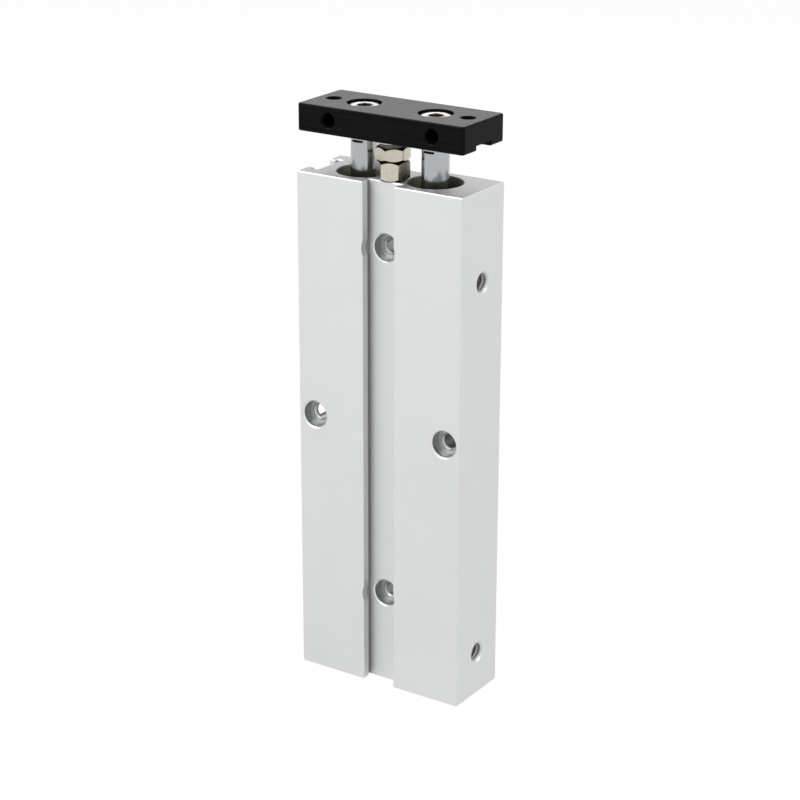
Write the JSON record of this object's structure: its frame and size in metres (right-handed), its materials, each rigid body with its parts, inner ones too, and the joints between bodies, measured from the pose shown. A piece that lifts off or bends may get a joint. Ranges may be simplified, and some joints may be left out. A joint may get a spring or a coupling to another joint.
{
  "type": "guided pneumatic cylinder",
  "caption": "Guided pneumatic cylinder: flat silver block with side-by-side bores, chromed rods joined by a black end plate, and a bolt between the rods that stops the retraction",
  "frame": {"origin": "centre of the cylinder block's bottom end face", "axes": "+Z along the piston rods towards the end plate, +X across the bores towards the air ports, -Y towards the face beside the stop bolt"},
  "size_m": [0.056, 0.0222, 0.1752],
  "materials": {
    "clear_anodised_body": "fine satin clear anodised",
    "black_anodised_plate": "satin black anodised",
    "chromed_rod": "hard chrome, ground and polished",
    "nickel_fastener": "nickel plated, satin",
    "dark_spring_steel": "phosphated and oiled",
    "cover_aluminium": "turned and hard anodised",
    "bush_bronze": "sintered, oil filled",
    "seal_rubber": "matte",
    "bumper_rubber": "matte polyurethane",
    "piston_aluminium": "turned",
    "bonded_magnet": "moulded",
    "wear_ring_plastic": "moulded"
  },
  "bodies": {
    "barrel": {"cylinder_body": "clear_anodised_body", "front_snap_ring_left": "dark_spring_steel", "front_snap_ring_right": "dark_spring_steel", "front_cover_left": "cover_aluminium", "front_cover_right": "cover_aluminium", "front_cover_oring_left": "seal_rubber", "front_cover_oring_right": "seal_rubber", "rod_bush_left": "bush_bronze", "rod_bush_right": "bush_bronze", "rod_seal_left": "seal_rubber", "rod_seal_right": "seal_rubber", "rear_snap_ring_left": "dark_spring_steel", "rear_snap_ring_right": "dark_spring_steel", "rear_cover_left": "cover_aluminium", "rear_cover_right": "cover_aluminium", "rear_cover_oring_left": "seal_rubber", "rear_cover_oring_right": "seal_rubber"},
    "carriage": {"end_plate": "black_anodised_plate", "stop_bolt": "nickel_fastener", "stop_lock_nut": "nickel_fastener", "stop_spring_washer": "dark_spring_steel", "stop_flat_washer": "nickel_fastener", "piston_left": "piston_aluminium", "piston_right": "piston_aluminium", "piston_rear_seal_left": "seal_rubber", "piston_rear_seal_right": "seal_rubber", "piston_front_seal_left": "seal_rubber", "piston_front_seal_right": "seal_rubber", "piston_magnet_left": "bonded_magnet", "piston_magnet_right": "bonded_magnet", "piston_wear_ring_left": "wear_ring_plastic", "piston_wear_ring_right": "wear_ring_plastic", "piston_rear_bumper_left": "bumper_rubber", "piston_rear_bumper_right": "bumper_rubber", "piston_front_bumper_left": "bumper_rubber", "piston_front_bumper_right": "bumper_rubber", "piston_screw_left": "dark_spring_steel", "piston_screw_right": "dark_spring_steel", "piston_rod_left": "chromed_rod", "piston_rod_right": "chromed_rod", "plate_screw_left": "nickel_fastener", "plate_screw_right": "nickel_fastener"}
  },
  "joints": [
    {"name": "rod_stroke", "type": "slide", "parent": "barrel", "child": "carriage", "axis": [0, 0, 1], "range_m": [0, 0.08]}
  ]
}
